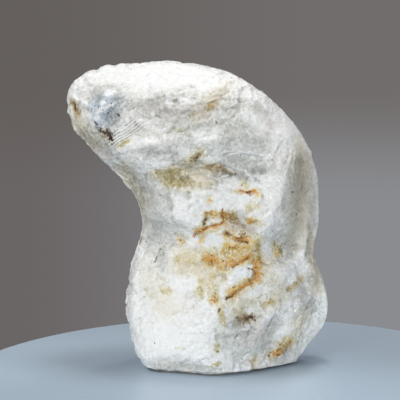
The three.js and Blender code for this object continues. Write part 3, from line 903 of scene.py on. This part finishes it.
marbleFinish = {
    "colours": {
        "snow": "#fbfdfb", "milk": "#edede8", "glass": "#c4c4bd", "warmth": "#f1ece1", "hollow": "#dbd9d3",
        "greyAndShade": "#dadcdc", "cream": "#f3ebd9", "mauve": "#e9e3e1", "blueGrey": "#bccbdd", "tanAndShade": "#e3d8c4",
        "khaki": "#ebdfb8", "umber": "#b8ab98", "olive": "#dfdbb2", "golden": "#f1d389", "orange": "#dc9a3a",
        "rust": "#7f530f", "frost": "#fcfefe", "speck": "#2e261d", "ink": "#4f5a6b",
    },
    "noises": {  # sizes in metres; stretch is along the stone's layers
        "broad": {"size": 0.014, "stretch": 1.9},
        "patchy": {"size": 0.004, "detail": 5.0, "roughness": 0.68, "stretch": 1.9, "start": 0.3},
        "fine": {"size": 0.0012, "roughness": 0.6, "start": 0.7},
        "sugar": {"size": 0.0006, "detail": 1.0, "start": 3.3},
        "ragged": {"size": 0.0026, "detail": 5.0, "roughness": 0.7, "start": 1.1},
        "mottle": {"size": 0.0012, "detail": 4.0, "roughness": 0.7, "start": 1.9},
        "fade": {"size": 0.003, "start": 2.9},
        "warm": {"size": 0.024, "detail": 2.0, "start": 2.3},
        "streaks": {"size": 0.001, "roughness": 0.65, "stretch": 3.2, "start": 4.1},
    },
    "crystals": (0.0042, 0.0019, 0.0009),  # sizes in metres: big, small and single grains
    "crookedness": (0.004, 0.003),  # of the crystals' borders: size and shift of the bends
    # stains: how close to a mark they start and are full, raggedness, strength, and more of it in blotches
    "glazes": {  # they tint what lies under them, in this order
        "greyAndShade": (-0.3, 0.9, 0.8, 0.66, 0),
        "cream": (-0.6, 0.9, 0.9, 0.9, 0),
        "mauve": (-0.3, 0.9, 0.9, 0.7, 0),
        "blueGrey": (-0.4, 1.0, 1.9, 0.8, 0),
        "tanAndShade": (-0.5, 1.0, 1.2, 0.6, 0.4),
        "khaki": (-0.35, 0.8, 1.5, 0.4, 0.6),
        "umber": (-0.3, 0.7, 1.3, 0.5, 0.4),
        "olive": (-0.35, 0.8, 1.8, 0.4, 0.5),
        "golden": (-0.35, 0.6, 1.5, 0.4, 0.6),
    },
    "coats": {  # they hide it
        "orange": (-0.05, 0.7, 2.0, 0.45, 0.5),
        "rust": (0.3, 0.8, 2.4, 0.2, 0.75),
        "frost": (0.0, 0.7, 2.4, 0.8, 0),
        "speck": (0.3, 0.65, 1.2, 0.85, 0),
    },
    "ore": {  # dots near the stains: how close they start and are thickest, and their share there
        "rust": (-1.0, 0.5, 0.18), "orange": (-0.6, 0.6, 0.14),
        "olive": (-0.5, 0.6, 0.1), "khaki": (-0.3, 0.6, 0.05),
    },
    "dotSize": 0.0013,  # of the cells that hold one dot each
    "dustSize": 0.0045,  # the same for dust
}


def marblePaint():
    material, paint = newPaint("ironStainedMarble")
    finish = {name: tint(code) for name, code in marbleFinish["colours"].items()}

    def noise(name):
        return paint.noise(**marbleFinish["noises"][name])

    broad, patchy, fine = noise("broad"), noise("patchy"), noise("fine")
    sugar, streaks = noise("sugar"), noise("streaks")
    ragged = noise("ragged") - 0.5
    mottle = noise("mottle").between(0.42, 0.58)
    fade = noise("fade").between(0.36, 0.6)
    warm = noise("warm").between(0.45, 0.7)
    arris, ridge, rugged, blade = [paint.field(name) for name in ("arris", "ridge", "rugged", "blade")]

    # calcite crystals of three sizes, most with crooked borders, each with its own clearness and its own tilt
    size, shift = marbleFinish["crookedness"]
    crooked = paint.vector("SUBTRACT", paint.noise(size, output=1), (0.5, 0.5, 0.5))
    bent = paint.vector("ADD", paint.place(), paint.vector("MULTIPLY", crooked, (shift, shift, shift)))

    def crystals(size, where):
        code = paint.cells(size, where, 1)
        away = paint.vector("SUBTRACT", where, paint.cells(size, where, 2))
        lean = paint.vector("DOT_PRODUCT", away, paint.vector("SUBTRACT", code, (0.5, 0.5, 0.5)), 1)
        return paint.node("SeparateColor", {0: code}), lean

    big, small, grain = marbleFinish["crystals"]
    bigTone, bigLean = crystals(big, bent)
    smallTone, smallLean = crystals(small, bent)
    grainTone, grainLean = crystals(grain, paint.place())
    seam = 1 - paint.cells(big, bent, feature="DISTANCE_TO_EDGE").between(0.0, 0.07)

    # how clear and grey the calcite is, from snow white to glassy. The grey and white marks carry painted
    # shade and painted light as well, the arrises come out whiter, and the hollows and the gaps between the
    # blades greyer, which is painted shade.
    clear = (0.34 * patchy + 0.26 * broad + 0.18 * bigTone + 0.12 * smallTone + 0.12 * grainTone - 0.1 * seam
             + 0.14 * paint.field("greyAndShade").between(-0.3, 0.8) - 0.26 * paint.field("whiteAndLight").between(-0.3, 0.7)
             + 0.35 * (sugar - 0.42) - 0.2 * ridge - 0.5 * arris - 0.22 * blade)
    colour = paint.mix(clear.between(0.34, 0.62), finish["snow"], finish["milk"])
    colour = paint.mix(clear.between(0.5, 0.86) * 0.85, colour, finish["glass"])
    colour = paint.mix(warm * 0.2, colour, finish["warmth"])

    # bright and dark streaks along the layers, then single grains painted snow white as glints, which is
    # painted highlight, and single grains that look clear
    colour = paint.mix(streaks.between(0.56, 0.64) * (0.15 + 0.3 * rugged), colour, finish["snow"])
    dark = (1 - streaks).between(0.58, 0.66) * (0.08 + 0.25 * rugged)
    colour = paint.mix(dark, colour, finish["glass"], "MULTIPLY")
    # painted highlight: single grains made snow white as glints
    colour = paint.mix(grainTone.between(0.8, 0.84) * (0.35 + 0.5 * rugged), colour, finish["snow"])
    shades = (1 - grainTone).between(0.88, 0.94) * clear.between(0.45, 0.7) * 0.4 * rugged
    colour = paint.mix(shades, colour, finish["glass"], "MULTIPLY")

    # iron stains, which gather in the hollows and break up at the crystals' borders
    spotted = 0.22 * (smallTone - 0.5) + 0.25 * (grainTone - 0.5)
    spotted = spotted - 0.6 * paint.field("whiteAndLight").between(0.0, 0.8)

    def glaze(kind):
        low, high, raggedness, strength, more = marbleFinish["glazes"][kind]
        amount = (paint.field(kind) + raggedness * ragged + spotted - 0.5 * arris).between(low, high)
        strength = strength + more * mottle if more else strength
        return paint.mix(amount * strength, colour, finish[kind], "MULTIPLY")

    def coat(kind, blotches=None):
        low, high, raggedness, strength, more = marbleFinish["coats"][kind]
        amount = (paint.field(kind) + raggedness * ragged + 0.4 * (grainTone - 0.5)).between(low, high)
        strength = strength + more * blotches if blotches else strength
        return paint.mix(amount * strength, colour, finish[kind])

    # painted shade: the hollows and the gaps between the blades are darkened
    hollow = (-1 * ridge - 0.25 * blade).between(0.1, 0.7)
    colour = paint.mix(hollow * 0.5, colour, finish["hollow"], "MULTIPLY")
    for kind in marbleFinish["glazes"]:
        colour = glaze(kind)
    colour = coat("orange", mottle)
    colour = coat("rust", fade)
    colour = coat("frost")

    # tiny dots of ore, thick in the stains and rare elsewhere
    near = marbleFinish["ore"].items()
    iron = sum(share * paint.field(kind).between(low, high) for kind, (low, high, share) in near)
    dotTone = paint.node("SeparateColor", {0: paint.cells(marbleFinish["dotSize"], output=1)})
    dotEdge = paint.cells(marbleFinish["dotSize"])
    dots = (iron - dotTone).between(0.0, 0.05) * (0.42 - dotEdge + 0.4 * ragged).between(0.0, 0.16)
    colour = paint.mix(dots * 0.85, colour, finish["rust"])
    ink = (paint.field("blueGrey").between(-0.3, 0.8) * 0.4 - dotTone).between(0.0, 0.05)
    ink = ink * (0.3 - dotEdge + 1.2 * ragged).between(0.0, 0.2)
    colour = paint.mix(ink * 0.8, colour, finish["ink"])
    dust = (0.06 + 0.1 * ragged - paint.cells(marbleFinish["dustSize"])).between(0.0, 0.03)
    colour = paint.mix(dust * 0.4, colour, finish["speck"])
    colour = coat("speck")
    soleShadow = (0.0012 - paint.part(paint.place(), 2) + 0.0008 * ragged).between(0.0, 0.0005)  # painted shadow: a dark band round the sole, where the stone meets the table
    colour = paint.mix(soleShadow * 0.85, colour, finish["speck"])

    leans = 200 * bigLean + 450 * smallLean + 1600 * grainLean
    relief = (sugar * 0.22 + fine * 0.5 + patchy * 0.1 + leans) * (0.35 + 0.75 * rugged)
    bump = paint.node("Bump", {"Strength": 0.8, "Distance": 0.0005, "Height": relief})
    surface = paint.node("BsdfPrincipled", {
        "Base Color": colour,
        "Roughness": 0.6 - 0.2 * smallTone.between(0.6, 0.9) - 0.28 * grainTone.between(0.55, 0.7),
        "Specular IOR Level": 0.45,
        "Normal": bump,
        "Subsurface Weight": 0.2,
        "Subsurface Radius": (1.0, 0.95, 0.88),
        "Subsurface Scale": 0.001,
    })
    paint.node("OutputMaterial", {"Surface": surface})
    return material


stone.data.materials.append(marblePaint())
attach(stone, "root")
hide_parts("marble_stone")
print("marble painted")
